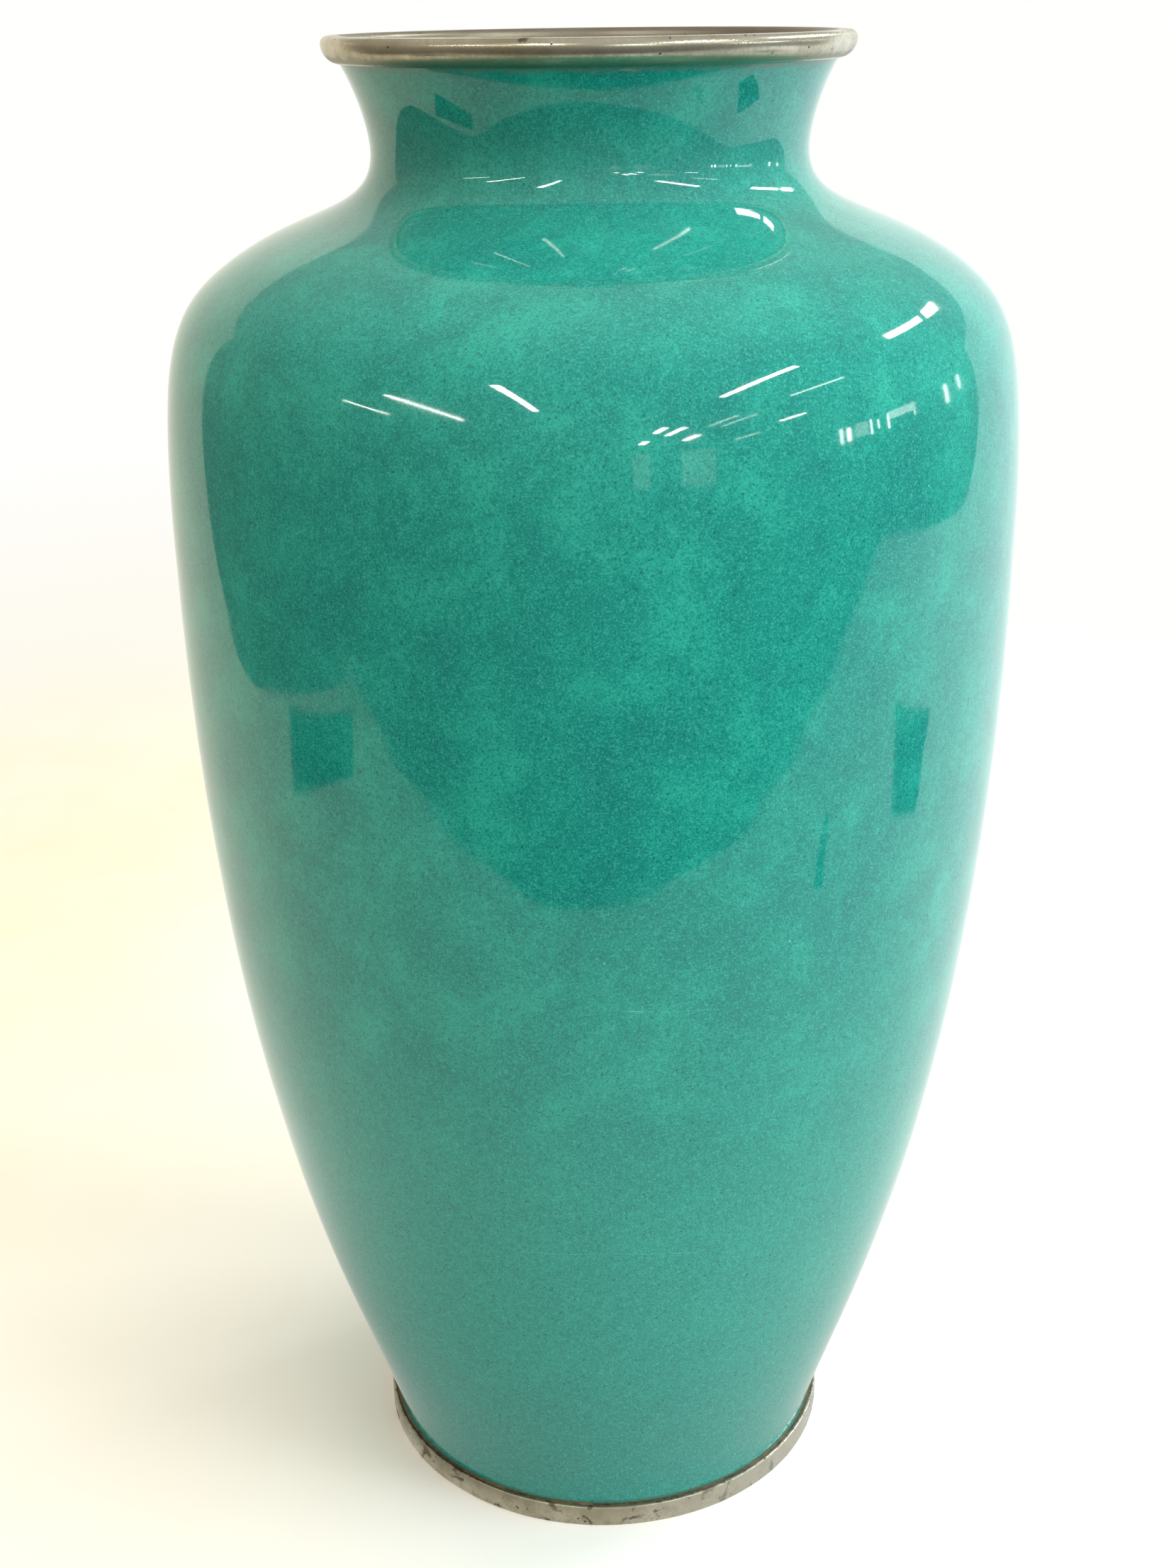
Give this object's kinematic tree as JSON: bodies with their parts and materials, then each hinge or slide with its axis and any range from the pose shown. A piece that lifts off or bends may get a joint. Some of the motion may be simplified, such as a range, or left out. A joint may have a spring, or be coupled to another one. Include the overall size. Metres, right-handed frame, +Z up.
{
  "type": "cloisonne vase",
  "caption": "Round-shouldered vase of plain teal enamel on a copper body, with a short flared neck, a rolled metal rim mount and a metal foot band.",
  "frame": {"origin": "on the vase's axis, on the table under the foot", "axes": "+Z up along the axis of revolution; +X and +Y are equivalent"},
  "size_m": [0.1346, 0.1346, 0.245],
  "materials": {
    "teal_enamel": "polished glass enamel, teal green with fine dark specks",
    "counter_enamel": "fire-polished counter-enamel, mottled dark teal",
    "copper": "raised copper sheet, hidden between the enamels",
    "braze": "dull silver-grey braze and solder",
    "plated_metal": "silver plate, satin, worn and tarnished",
    "oxidised_solder": "dark brown oxidised solder line"
  },
  "bodies": {
    "root": {"outer_enamel": "teal_enamel", "lining_enamel": "counter_enamel", "base_enamel": "counter_enamel", "copper_body": "copper", "copper_base": "copper", "base_braze": "braze", "rim_mount": "plated_metal", "rim_solder": "braze", "foot_mount": "plated_metal", "foot_solder": "oxidised_solder"}
  },
  "joints": []
}
